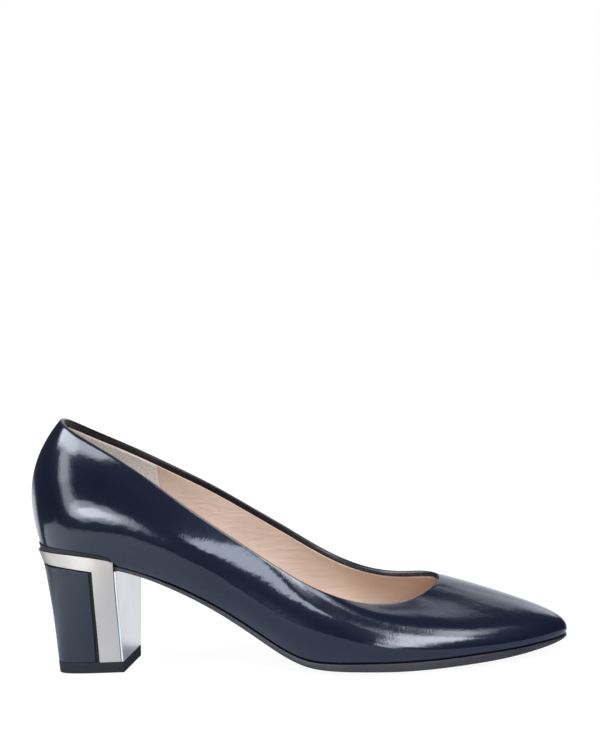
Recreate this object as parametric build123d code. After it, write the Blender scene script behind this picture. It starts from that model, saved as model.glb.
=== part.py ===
"""Women's block-heel pump, right shoe, EU 37, built up from its separate pieces.

Frame: +X to the toe, +Y to the medial side, +Z up. Z = 0 is the ground. In the station
tables below x is measured from the heel's back; the finished shoe is shifted back by
FOOTPRINT_MIDDLE, so that its origin is at the middle of its footprint.
"""
import os
from math import comb
from build123d import *
import numpy as np

# ---- driving dimensions, mm -------------------------------------------------------
FOOTPRINT_MIDDLE = 122.5    # from the heel's back; the shoe is twice this long
GAP = 0.05                  # glue line left between neighbouring pieces

# One row per station, evenly numbered round the shoe: heel back, lateral side, toe,
# medial side. Feather line x, y; topline x, y, z; how far the wall swells outward at
# its lower, middle and upper control; how much the station belongs to the toe, 0 to 1.
STATIONS = [
    (4.4, 0.0, 18.3, 0.0, 118.3, 7.0, 13.5, 11.5, 0.00),
    (8.4, -14.1, 21.0, -8.5, 116.4, 6.5, 12.0, 10.5, 0.00),
    (21.0, -22.6, 30.0, -15.5, 111.5, 6.1, 11.1, 9.0, 0.00),
    (40.5, -24.0, 45.0, -21.0, 103.0, 5.7, 10.2, 7.6, 0.00),
    (62.0, -24.0, 63.0, -25.2, 91.0, 5.9, 8.6, 5.7, 0.00),
    (85.0, -24.8, 81.0, -27.6, 77.2, 6.0, 7.0, 4.5, 0.00),
    (107.0, -26.6, 99.0, -28.8, 64.0, 6.0, 7.0, 4.0, 0.00),
    (129.0, -32.0, 116.0, -29.7, 52.0, 6.0, 7.0, 4.0, 0.00),
    (151.0, -36.6, 132.0, -30.0, 41.6, 6.0, 7.5, 4.5, 0.05),
    (173.0, -37.2, 147.0, -28.6, 34.2, 5.5, 7.0, 4.5, 0.20),
    (195.0, -32.6, 160.0, -25.0, 30.2, 5.0, 5.5, 3.5, 0.45),
    (216.0, -24.0, 171.0, -19.4, 29.1, 4.5, 3.5, 2.5, 0.70),
    (232.5, -13.8, 180.0, -12.0, 30.4, 4.0, 1.5, 1.0, 0.88),
    (241.5, -5.5, 186.0, -4.5, 33.0, 3.5, 0.4, 0.2, 0.98),
    (244.6, 3.0, 188.0, 3.0, 34.9, 3.4, 0.0, 0.0, 1.00),
    (241.0, 11.5, 186.0, 10.0, 35.9, 3.5, 0.2, 0.0, 0.98),
    (231.0, 19.5, 180.0, 15.5, 36.3, 4.0, 1.0, 0.4, 0.88),
    (214.0, 28.0, 171.0, 20.5, 35.6, 4.5, 3.0, 1.5, 0.70),
    (194.0, 34.2, 160.0, 25.2, 35.7, 5.0, 5.0, 3.0, 0.45),
    (172.0, 36.8, 147.0, 28.4, 38.8, 5.5, 6.0, 3.5, 0.20),
    (150.0, 34.5, 132.0, 30.1, 46.0, 6.0, 6.5, 3.5, 0.05),
    (128.0, 27.5, 116.0, 30.8, 56.3, 7.0, 7.0, 3.5, 0.00),
    (106.0, 22.5, 99.0, 30.9, 67.3, 7.0, 7.0, 3.5, 0.00),
    (84.0, 21.5, 81.0, 30.3, 79.0, 7.0, 7.0, 4.0, 0.00),
    (62.0, 22.8, 63.0, 28.6, 89.7, 6.1, 8.4, 5.6, 0.00),
    (40.5, 24.0, 45.0, 24.8, 100.3, 5.7, 9.9, 7.2, 0.00),
    (21.0, 22.6, 30.0, 19.0, 109.0, 6.1, 11.1, 8.5, 0.00),
    (8.4, 14.1, 21.0, 10.0, 115.6, 6.5, 12.0, 10.5, 0.00),
]
# Where the three controls between feather line and topline stand, as fractions of the
# way along and up: first on the sides of the shoe, then at the toe.
SIDE_ALONG, SIDE_UP = (0.25, 0.50, 0.75), (0.25, 0.50, 0.75)
TOE_ALONG, TOE_UP = (0.0, 0.117, 0.61), (0.31, 0.400, 0.812)

# Underside of the outsole along its centre line, x and z, and the outsole's thickness.
TREAD = [(-10, 56.3), (10, 55.3), (30, 52.6), (50, 47.6), (70, 39.6), (90, 28.3),
         (110, 14.4), (120, 7.9), (130, 3.4), (140, 1.5), (155, 0.45), (170, 0.0),
         (185, 0.45), (203, 1.55), (215, 2.2), (233, 3.9), (245, 5.9), (256, 8.2)]
OUTSOLE = [(-10, 1.8), (45, 1.8), (70, 1.8), (90, 2.3), (110, 2.7), (130, 2.95),
           (150, 3.5), (165, 3.8), (200, 3.75), (215, 3.5), (224, 3.0), (233, 2.4),
           (240, 1.7), (245, 1.2), (256, 0.7)]
CROWN_RISE = 1.45           # how far the tread lifts at its edge, beside the ball
CROWN_X, CROWN_REACH, CROWN_HALF = 168.0, 35.0, 37.5

# Layers of the wall, as depths inward from the outer face of the leather.
LEATHER, STIFFENER, LINING, GRIP = 1.2, 0.7, 0.8, 0.6
MARGIN_WIDTH = 11.0         # leather folded under the insole
MARGIN_TOE_CUT = 0.62       # share of the margin notched away at the pointed toe
MARGIN_CORNER = 0.6         # height at which the folded margin meets the wall's inside
LINING_FOOT = 0.055         # wall parameter where the lining starts
BINDING_DEPTH, BINDING_RISE = 3.8, 0.45
LINING_DROP = 3.4           # the lining's cut edge lies this far below the topline
EDGE_SHOWN = 0.55           # leather edge left bare outside the binding
TAPE = (7.0, 4.2)           # distances of the topline tape's two edges below the topline
GRIP_END = 0.118            # the suede grip ends this far round from the heel's back
GRIP_FOOT = 0.09            # wall parameter of its lower edge, hidden by the sock
COUNTER_END, PUFF_START = 0.205, 0.385
BUTT = 0.002                # share of the way round left open between two stiffeners
COUNTER_TOP, PUFF_TOP, SIDE_TOP = 0.80, 0.52, 0.82

# The sole's edge stands this far outside the feather line, in front of the step and
# behind it, where the heel and the waist take over.
EDGE_FRONT, EDGE_REAR, EDGE_STEP = 0.25, -1.1, 60.0

# Layers of the bottom, as heights above the outsole's upper face, and their front ends.
FILLER, FILLER_ENDS = (0.1, 1.15), (132.0, 236.0)
INSOLE = (1.70, 3.10)
SHANK_BOARD_THICK, SKIVED_THICK = 1.1, 0.1
SHANK_BOARD_FADE, SHANK_BOARD_END = 112.0, 118.0
FOAM_END = 236.0
SOCK, SOCK_END = (4.95, 5.75), 239.0
BOARD_INSET, PAD_INSET = -4.0, -4.4
SHANK_WIDTH, SHANK_THICK, SHANK_ENDS = 11.0, 1.0, (18.0, 126.0)
SHANK_LEVEL = 0.5           # height of the steel shank above the outsole's upper face

# Heel, one row per height z: back x, breast x, half width, fullness of the outline.
HEEL = [(0.0, 8.0, 41.3, 16.3, 5.0), (15.0, 7.3, 42.1, 19.0, 3.7),
        (30.0, 6.6, 42.9, 22.4, 3.0), (45.0, 5.2, 43.7, 25.7, 2.55),
        (53.0, 4.1, 44.2, 27.1, 2.4), (60.0, 2.0, 44.5, 27.8, 2.4)]
HEEL_TOP = HEEL[-1][0]
HEEL_SKIN = 1.0             # metal frame, breast plate and leather panel
HEEL_LEAN = 0.55            # how far the foot of the heel sits to the medial side
HEEL_WAIST = 0.085          # share by which its top narrows again toward the breast
TOP_LIFT = 5.2
BAND_FOOT = [(-5.0, 53.2), (8.0, 52.8), (20.0, 51.7), (33.0, 49.7)]
RIM_TOP = [(-5.0, 58.5), (10.0, 58.7), (21.0, 57.9), (33.0, 56.3), (50.0, 51.9)]
COLUMN_BACK = (32.9, 30.2)  # x of the column's rear edge under the band and at the foot
GROOVE = 0.55               # dark line between metal and leather panel
RAND_RISE = 0.055           # wall parameter reached by the black rand above the rim
RAND_THICK = 0.32
RAND_ENDS = (-0.112, 0.112)

BEHIND, AHEAD = -20.0, 270.0    # x limits that clear the whole shoe at both ends
CLEAR = 45.0                    # half width and height that clear it everywhere


# ---- smooth curves ----------------------------------------------------------------
def natural_spline(points):
    """A function of x through the points, with no bend at its ends."""
    x, y = np.array(points, float).T
    step, n = np.diff(x), len(x)
    system, rise = np.eye(n), np.zeros(n)
    for i in range(1, n - 1):
        system[i, i - 1:i + 2] = step[i - 1], 2 * (step[i - 1] + step[i]), step[i]
        rise[i] = 6 * ((y[i + 1] - y[i]) / step[i] - (y[i] - y[i - 1]) / step[i - 1])
    bend = np.linalg.solve(system, rise)

    def at(value):
        value = np.asarray(value, float)
        k = np.clip(np.searchsorted(x, value) - 1, 0, n - 2)
        p, q = (x[k + 1] - value) / step[k], (value - x[k]) / step[k]
        bow = ((p**3 - p) * bend[k] + (q**3 - q) * bend[k + 1]) * step[k]**2 / 6
        return p * y[k] + q * y[k + 1] + bow
    return at


def closed_spline(rows):
    """A smooth closed function of u, 0 to 1, through evenly spaced rows."""
    rows = np.array(rows, float)
    n = len(rows)
    blend = (4 + 2 * np.cos(2 * np.pi * np.arange(n) / n)) / 6
    poles = np.real(np.fft.ifft(np.fft.fft(rows, axis=0) / blend[:, None], axis=0))

    def at(u):
        place = np.asarray(u, float) * n
        k = np.floor(place).astype(int)
        f = (place - k)[..., None]
        weights = ((1 - f)**3, 3 * f**3 - 6 * f**2 + 4, -3 * f**3 + 3 * f**2 + 3 * f + 1, f**3)
        return sum(w * poles[(k + i - 1) % n] for i, w in enumerate(weights)) / 6
    return at


station = closed_spline(STATIONS)
tread = natural_spline(TREAD)
outsole_thickness = natural_spline(OUTSOLE)


def tread_z(x, y):
    """Underside of the outsole."""
    crown = CROWN_RISE * np.exp(-((x - CROWN_X) / CROWN_REACH)**2) * (y / CROWN_HALF)**2
    return tread(x) + crown


def seat_z(x, y, level=0.0):
    """Upper face of the outsole, or a height above it."""
    return tread_z(x, y) + outsole_thickness(x) + level


# ---- the wall of the upper --------------------------------------------------------
def feather(u, out=0.0):
    """Plan point where the wall meets the sole, moved outward by out."""
    small = 1e-4
    along = station(u + small)[..., :2] - station(u - small)[..., :2]
    outward = np.stack([along[..., 1], -along[..., 0]], -1)
    outward /= np.linalg.norm(outward, axis=-1, keepdims=True)
    return station(u)[..., :2] + outward * out, outward


def wall_controls(u):
    """The five control points of the wall at u, from the feather line to the topline."""
    row = station(u)
    foot, outward = feather(u)
    top, swell, toe = row[..., 2:5], row[..., 5:8], row[..., 8:9]
    foot_z = seat_z(foot[..., 0], foot[..., 1], 1.5 * GAP)[..., None]
    controls = [np.concatenate([foot, foot_z], -1)]
    for i in range(3):
        along = SIDE_ALONG[i] * (1 - toe) + TOE_ALONG[i] * toe
        up = SIDE_UP[i] * (1 - toe) + TOE_UP[i] * toe
        plan = foot + along * (top[..., :2] - foot) + swell[..., i:i + 1] * outward
        controls.append(np.concatenate([plan, foot_z + up * (top[..., 2:] - foot_z)], -1))
    return controls + [top]


def outer(u, v):
    """The outer face of the leather; v is 0 at the feather line and 1 at the topline."""
    u, v = np.broadcast_arrays(np.asarray(u, float), np.asarray(v, float))
    a, b, c, d, e = wall_controls(u)
    v = v[..., None]
    w = 1 - v
    return w**4 * a + 4 * w**3 * v * b + 6 * w**2 * v**2 * c + 4 * w * v**3 * d + v**4 * e


def wall(u, v, depth=0.0):
    """A point of the wall, depth millimetres inside its outer face."""
    small = 1e-4
    across = outer(u + small, v) - outer(u - small, v)
    up = outer(u, v + small) - outer(u, v - small)
    normal = np.cross(across, up)
    normal /= np.linalg.norm(normal, axis=-1, keepdims=True)
    return outer(u, v) - normal * np.asarray(depth, float)[..., None]


def below_topline(u, distance):
    """Wall parameter that lies a distance in millimetres below the topline."""
    controls = wall_controls(u)
    return 1 - distance / (4 * np.linalg.norm(controls[4] - controls[3], axis=-1))


# ---- solids from curved faces -----------------------------------------------------
def bezier_face(surface, rows, columns):
    """One face through rows x columns points of surface(s, t), s and t from 0 to 1."""
    def nodes(count):
        place = 0.5 - 0.5 * np.cos(np.pi * np.arange(count) / (count - 1))
        basis = [[comb(count - 1, j) * p**j * (1 - p)**(count - 1 - j) for j in range(count)]
                 for p in place]
        return place, np.linalg.inv(np.array(basis))

    s, to_rows = nodes(rows)
    t, to_columns = nodes(columns)
    grid_s, grid_t = np.meshgrid(s, t, indexing="ij")
    poles = np.einsum("ij,jkc,lk->ilc", to_rows, surface(grid_s, grid_t), to_columns)
    return Face.make_bezier_surface([[Vector(*p) for p in row] for row in poles])


def ring_solid(sides, start, end, spans, block=None):
    """A solid that runs round the shoe from u = start to u = end.

    sides are the profile's sides in order, each a pair: a function of (u, s) and the
    number of points it needs along s. block(u, s, t) closes the two ends of a piece
    that does not go all the way round.
    """
    faces = []
    cuts = np.linspace(start, end, spans + 1)
    for low, high in zip(cuts[:-1], cuts[1:]):
        for side, points in sides:
            def face(s, t, side=side, low=low, high=high):
                return side(low + (high - low) * s, t)
            faces.append(bezier_face(face, 9, points))
    if block:
        for u in (start, end):
            def cap(s, t, u=u):
                return block(np.full_like(s, u), s, t)
            faces.append(bezier_face(cap, 7, 2))
    return Solid(Shell(faces))


def layer(bottom, top, outside, inside, start=0.0, end=1.0, spans=7):
    """A layer of the wall between two parameters, which may depend on u, and two depths."""
    def limit(value, u):
        return value(u) if callable(value) else np.full_like(u, value)

    def block(u, s, t):
        low, high = limit(bottom, u), limit(top, u)
        return wall(u, low + (high - low) * s, outside + (inside - outside) * t)

    sides = [(lambda u, s: block(u, s, np.zeros_like(s)), 7),
             (lambda u, s: block(u, s, np.ones_like(s)), 7),
             (lambda u, s: block(u, np.zeros_like(s), s), 2),
             (lambda u, s: block(u, np.ones_like(s), s), 2)]
    partial = end - start < 1.0
    return ring_solid(sides, start, end, spans, block if partial else None)


def slab(low, high, first=-8.0, last=254.0, spans=8, half=CLEAR + 1):
    """A plate between two height functions of (x, y), over the whole sole."""
    faces = []
    cuts = np.linspace(first, last, spans + 1)

    def point(x, y, z):
        return np.stack([x, y, z], -1)

    for left, right in zip(cuts[:-1], cuts[1:]):
        for height in (low, high):
            def plate(s, t, left=left, right=right, height=height):
                x, y = left + (right - left) * s, half * (2 * t - 1)
                return point(x, y, height(x, y))
            faces.append(bezier_face(plate, 7, 3))
        for y in (-half, half):
            def edge(s, t, left=left, right=right, y=y):
                x, y = left + (right - left) * s, np.full_like(s, y)
                return point(x, y, low(x, y) + (high(x, y) - low(x, y)) * t)
            faces.append(bezier_face(edge, 7, 2))
    for x in (first, last):
        def end(s, t, x=x):
            x, y = np.full_like(s, x), half * (2 * s - 1)
            return point(x, y, low(x, y) + (high(x, y) - low(x, y)) * t)
        faces.append(bezier_face(end, 3, 2))
    return Solid(Shell(faces))


def between(first, last, half=CLEAR):
    """A box from x = first to x = last, wide and tall enough for the whole bottom."""
    return Pos((first + last) / 2, 0, CLEAR) * Box(last - first, 2 * half, 4 * CLEAR)


def sole_outline(out, first=BEHIND, last=AHEAD):
    """Prism over the feather line moved outward by out (inward when negative)."""
    count = 3 * len(STATIONS)
    points = feather(np.arange(count) / count, out)[0]
    if out < 0:
        rim = feather(np.arange(4 * count) / (4 * count))[0]
        clear = np.linalg.norm(points[:, None] - rim[None], axis=-1).min(axis=1)
        points = points[clear > -out - 2 * GAP]
    curve = Spline(*[(x, y, -CLEAR) for x, y in points], periodic=True)
    return extrude(make_face(curve), amount=4 * CLEAR, dir=(0, 0, 1)) & between(first, last)


def sole_layer(bottom, top, out, first=BEHIND, last=AHEAD):
    """A layer of the bottom between two heights above the outsole's upper face."""
    def height(value):
        return lambda x, y: seat_z(x, y, value(x) if callable(value) else value)
    return slab(height(bottom), height(top)) & sole_outline(out, first, last)


def side_prism(points):
    """A prism along Y over a polygon given as x, z."""
    outline = make_face(Polyline(*[(x, -CLEAR, z) for x, z in points], close=True))
    return extrude(outline, amount=2 * CLEAR, dir=(0, 1, 0))


def seat_pin(x, y, radius, low, high):
    """An upright cylinder from height low to height high."""
    return Pos(x, y, (low + high) / 2) * Cylinder(radius, high - low)


# ---- upper ------------------------------------------------------------------------
def upper_leather():
    """The vamp and quarters in one piece, with its margin folded under the insole."""
    def margin_width(u):
        return MARGIN_WIDTH * (1 - MARGIN_TOE_CUT * np.exp(-((u - 0.5) / 0.05)**2))

    def margin(u, s, level):
        foot, outward = feather(u)
        plan = foot - outward * (margin_width(u) * s)[..., None]
        z = seat_z(plan[..., 0], plan[..., 1], level)
        return np.concatenate([plan, z[..., None]], -1)

    def outside(u, s):
        return wall(u, s)

    def corner(u):
        controls = wall_controls(u)
        return MARGIN_CORNER / (4 * (controls[1] - controls[0])[..., 2])

    def inside(u, s):
        return wall(u, corner(u) + (1 - corner(u)) * s, LEATHER)

    def edge(u, s):
        return wall(u, np.ones_like(s), LEATHER * s)

    def under(u, s):
        foot, fold = wall(u, np.zeros_like(s)), margin(u, s, 2 * GAP)
        return np.where(s[..., None] == 0, foot, fold)

    def margin_end(u, s):
        low, high = margin(u, np.ones_like(s), 2 * GAP), margin(u, np.ones_like(s), LEATHER)
        return low + (high - low) * s[..., None]

    def margin_face(u, s):
        fold = wall(u, corner(u), LEATHER)
        return fold + (margin(u, np.ones_like(s), LEATHER) - fold) * s[..., None]

    sides = [(outside, 7), (inside, 7), (edge, 2), (under, 3), (margin_end, 2), (margin_face, 2)]
    return ring_solid(sides, 0, 1, 7)


def topline_binding():
    """A dark strip folded over the topline; the lining's cut edge overlaps its inner leg."""
    inner, outermost = LEATHER + GAP, EDGE_SHOWN
    back = inner + STIFFENER

    def at(u, rise, depth):
        return wall(u, below_topline(u, -rise), depth)

    def straight(start, end):
        def side(u, s):
            rise = start[0] + (end[0] - start[0]) * s
            return at(u, rise, start[1] + (end[1] - start[1]) * s)
        return side

    corners = [(GAP, outermost), (BINDING_RISE, outermost), (BINDING_RISE, back),
               (-BINDING_DEPTH, back), (-BINDING_DEPTH, inner), (GAP, inner)]
    sides = [(straight(a, b), 4) for a, b in zip(corners, corners[1:] + corners[:1])]
    return ring_solid(sides, 0, 1, 7)


def wall_pieces():
    """Stiffeners, lining and grip, which lie one inside the other."""
    first = LEATHER + GAP
    second = first + STIFFENER
    third = second + GAP
    fourth = third + LINING
    fifth = fourth + GAP
    foot = LINING_FOOT

    def edge(distance):
        return lambda u: below_topline(u, distance)

    return {
        "upper_leather": upper_leather(),
        "topline_binding": topline_binding(),
        "topline_tape": layer(edge(TAPE[0]), edge(TAPE[1]), first, second),
        "quarter_lining": layer(foot, edge(LINING_DROP), third, fourth),
        "heel_grip": layer(GRIP_FOOT, edge(BINDING_DEPTH + 0.3), fifth, fifth + GRIP,
                           -GRIP_END, GRIP_END, 3),
        "heel_counter": layer(foot, COUNTER_TOP, first, second, -COUNTER_END, COUNTER_END, 3),
        "toe_puff": layer(foot, PUFF_TOP, first, second, PUFF_START, 1 - PUFF_START, 3),
        "side_interlining_lateral": layer(foot, SIDE_TOP, first, second,
                                          COUNTER_END + BUTT, PUFF_START - BUTT, 2),
        "side_interlining_medial": layer(foot, SIDE_TOP, first, second,
                                         1 - PUFF_START + BUTT, 1 - COUNTER_END - BUTT, 2),
    }


# ---- fasteners of the bottom ------------------------------------------------------
SCREW = (27.0, 0.0)         # heel screw, x and y
NAILS = [(19.0, -7.5), (19.0, 7.5), (35.0, -8.5), (35.0, 8.5)]
RIVETS = [(50.0, 0.0), (80.0, 0.0)]
LIFT_PINS = [(17.0, 0.6), (31.0, 0.6)]
SCREW_RADIUS, NAIL_RADIUS, RIVET_RADIUS, PIN_RADIUS = 2.0, 1.0, 1.5, 1.5
SCREW_HEAD, NAIL_HEAD, RIVET_HEAD = 4.0, 2.0, 3.0
SCREW_LENGTH, NAIL_LENGTH, RIVET_LENGTH, PIN_LENGTH = 26.0, 17.0, 2.5, 13.0
PIN_FOOT = 2.0              # height of the lift pins' lower ends above the ground
HEAD_THICK, HEAD_SUNK = 0.8, 0.2


def headed(x, y, radius, head, length):
    """A fastener square to the insole, with its thin head sunk in the board."""
    shaft = Pos(0, 0, -length / 2) * Cylinder(radius, length)
    top = Pos(0, 0, -HEAD_THICK / 2) * Cylinder(head, HEAD_THICK)
    tilt = np.degrees(np.arctan(float(seat_z(x - 1, y) - seat_z(x + 1, y)) / 2))
    return Pos(x, y, float(seat_z(x, y, INSOLE[1])) - HEAD_SUNK) * Rot(0, tilt, 0) * (shaft + top)


def fasteners():
    """Screw, nails and rivets."""
    screw = headed(*SCREW, SCREW_RADIUS, SCREW_HEAD, SCREW_LENGTH)
    nails = [headed(x, y, NAIL_RADIUS, NAIL_HEAD, NAIL_LENGTH) for x, y in NAILS]
    rivets = [headed(x, y, RIVET_RADIUS, RIVET_HEAD, RIVET_LENGTH) for x, y in RIVETS]
    return screw, nails, rivets


# ---- bottom -----------------------------------------------------------------------
def bottom_pieces():
    """Outsole, filler, shank, boards, foam and sock."""
    def shank_board_top(x):
        fade = 1 / (1 + np.exp((np.asarray(x, float) - SHANK_BOARD_FADE) / 5.0))
        return INSOLE[1] + GAP + SKIVED_THICK + (SHANK_BOARD_THICK - SKIVED_THICK) * fade

    def foam_foot(x):
        return shank_board_top(x) + GAP

    sole = slab(tread_z, lambda x, y: seat_z(x, y))
    front = sole & sole_outline(EDGE_FRONT, EDGE_STEP)
    rear = sole & sole_outline(EDGE_REAR, BEHIND, EDGE_STEP)
    inside_margin = -MARGIN_WIDTH - MARGIN_CORNER
    shank = sole_layer(SHANK_LEVEL, SHANK_LEVEL + SHANK_THICK, -2.0)
    shank &= between(*SHANK_ENDS, SHANK_WIDTH / 2)
    return {
        "outsole": front + rear,
        "forefoot_filler": sole_layer(*FILLER, inside_margin, *FILLER_ENDS),
        "steel_shank": shank,
        "insole_board": sole_layer(*INSOLE, BOARD_INSET),
        "shank_board": sole_layer(INSOLE[1] + GAP, shank_board_top, PAD_INSET,
                                  BEHIND, SHANK_BOARD_END),
        "sock_foam": sole_layer(foam_foot, SOCK[0] - GAP, PAD_INSET, BEHIND, FOAM_END),
        "sock_lining": sole_layer(*SOCK, BOARD_INSET, BEHIND, SOCK_END),
    }


# ---- heel -------------------------------------------------------------------------
heel_back, heel_breast, heel_half, heel_fullness = (
    natural_spline([(row[0], row[i]) for row in HEEL]) for i in range(1, 5))


def heel_section(z, inset):
    """Outline of the heel at a height: a full curve behind and a straight breast."""
    power = 2 / float(heel_fullness(z))
    back, breast = float(heel_back(z)) + inset, float(heel_breast(z)) - inset
    half, lean = float(heel_half(z)) - inset, HEEL_LEAN * (1 - z / HEEL_TOP)
    waist = HEEL_WAIST * min(z / HEEL_TOP, 1.0)

    def point(angle):
        reach = 1 - np.cos(angle)**power
        side = half * (1 - waist * reach**3) * np.sign(angle) * abs(np.sin(angle))**power
        return float(back + (breast - back) * reach), float(lean + side), z

    angles = np.linspace(-np.pi / 2, np.pi / 2, 17)[1:-1]
    ends = [(breast, lean + side * half * (1 - waist), z) for side in (-1, 1)]
    slope = 3 * waist * half / (breast - back)
    rear = Spline(ends[0], *[point(a) for a in angles], ends[1],
                  tangents=((-1, -slope, 0), (1, -slope, 0)))
    return make_face([rear, Line(ends[1], ends[0])])


def heel_body(low, high, inset):
    """The heel between two heights, inset from its outer face."""
    heights = [z for z in (15.0, 25.0, 35.0, 45.0, 55.0) if low + 3 < z < high - 3]
    return loft([heel_section(z, inset) for z in (float(low), *heights, float(high))])


def curve_points(points, count=9):
    """Points along the smooth curve through the given x, z."""
    line = natural_spline(points)
    return [(float(x), float(line(x))) for x in np.linspace(points[0][0], points[-1][0], count)]


def heel_pieces():
    """Core, metal frame, breast plate, leather panel, rand and top lift."""
    foot_z, over = TOP_LIFT + GAP, HEEL_TOP + 2
    skin = heel_body(foot_z, HEEL_TOP, 0) - heel_body(TOP_LIFT - 2, over, HEEL_SKIN)
    above_sole = slab(lambda x, y: tread_z(x, y) - GAP, lambda x, y: tread_z(x, y) + CLEAR)
    core = heel_body(foot_z, HEEL_TOP, HEEL_SKIN + GAP) - above_sole

    breast_line = [(float(heel_breast(z)) - HEEL_SKIN, z) for z in (0.0, 20.0, 40.0, over)]
    front = side_prism(breast_line + [(EDGE_STEP, over), (EDGE_STEP, 0)])
    plate = (skin & front) - above_sole

    rand = layer(0.0, RAND_RISE, -GAP, -GAP - RAND_THICK, *RAND_ENDS, 3)
    room_for_rand = layer(0.0, 0.2, LEATHER, -2 * GAP - RAND_THICK, -0.15, 0.15, 3)

    rim = curve_points(RIM_TOP)
    over_rim = side_prism(rim + [(rim[-1][0], 2 * CLEAR), (rim[0][0], 2 * CLEAR)])
    behind = [(x - GAP, z) for x, z in breast_line]
    sides = skin - side_prism(behind + [(EDGE_STEP, over), (EDGE_STEP, 0)]) - over_rim

    band = curve_points(BAND_FOOT, 7)
    back = band[0][0]
    band[-1] = (COLUMN_BACK[0], band[-1][1])
    foot = (COLUMN_BACK[1], TOP_LIFT)
    metal = band + [foot, (EDGE_STEP, TOP_LIFT), (EDGE_STEP, 2 * CLEAR), (back, 2 * CLEAR)]
    leather = [(x, z - GROOVE) for x, z in band[:-1]]
    leather += [(band[-1][0] - GROOVE, band[-1][1] - GROOVE), (foot[0] - GROOVE, TOP_LIFT)]
    leather += [(back, TOP_LIFT)]

    return {
        "heel_core": core,
        "heel_metal_frame": (sides & side_prism(metal)) - room_for_rand,
        "heel_breast_plate": plate,
        "heel_leather_panel": sides & side_prism(leather),
        "heel_seat_rand": rand,
        "top_lift": heel_body(0, TOP_LIFT, 0),
    }


def pin_joints(parts):
    """Fit the fasteners and cut their holes in every piece they pass through."""
    screw, nails, rivets = fasteners()
    pins = [seat_pin(x, y, PIN_RADIUS, PIN_FOOT, PIN_FOOT + PIN_LENGTH) for x, y in LIFT_PINS]
    pierced = {
        "insole_board": [screw, *nails, *rivets],
        "steel_shank": [screw, *rivets],
        "outsole": [screw, *nails],
        "heel_core": [screw, *nails, *pins],
        "top_lift": pins,
    }
    for name, cutters in pierced.items():
        for cutter in cutters:
            parts[name] -= cutter
    parts["heel_screw"] = screw
    parts["heel_nails"] = Compound(nails)
    parts["shank_rivets"] = Compound(rivets)
    parts["top_lift_pins"] = Compound(pins)


def main():
    os.makedirs("parts", exist_ok=True)
    parts = {**wall_pieces(), **bottom_pieces(), **heel_pieces()}
    pin_joints(parts)
    for name, part in parts.items():
        export_step(Pos(-FOOTPRINT_MIDDLE, 0, 0) * part, f"parts/{name}.step")
        print(f"{name}: {part.volume / 1000:.2f} cm3")


main()
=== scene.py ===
"""A glossy navy pump with a metal-framed block heel, on a white studio floor.

Sizes are in millimetres in the shoe's own frame, x from the heel's back; millimetres
become metres, and x moves to the middle of the footprint, only where a mesh is made.
"""
import math

import bpy
import numpy as np
from mathutils import Matrix, Quaternion, Vector


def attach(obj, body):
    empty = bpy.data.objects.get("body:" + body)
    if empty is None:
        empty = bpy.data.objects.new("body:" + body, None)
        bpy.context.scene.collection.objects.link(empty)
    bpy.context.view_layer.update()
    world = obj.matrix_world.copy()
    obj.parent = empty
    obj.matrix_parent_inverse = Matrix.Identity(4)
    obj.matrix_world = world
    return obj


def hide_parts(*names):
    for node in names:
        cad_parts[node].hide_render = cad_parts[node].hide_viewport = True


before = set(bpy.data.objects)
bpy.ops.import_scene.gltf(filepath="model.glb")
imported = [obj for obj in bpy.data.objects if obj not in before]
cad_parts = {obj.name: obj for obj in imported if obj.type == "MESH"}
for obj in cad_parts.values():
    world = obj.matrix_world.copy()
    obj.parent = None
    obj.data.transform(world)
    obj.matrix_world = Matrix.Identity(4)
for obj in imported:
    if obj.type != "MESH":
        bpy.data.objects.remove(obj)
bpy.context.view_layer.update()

FOOTPRINT_MIDDLE = 122.5
GLUE = 0.05                 # glue line between neighbouring pieces

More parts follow.
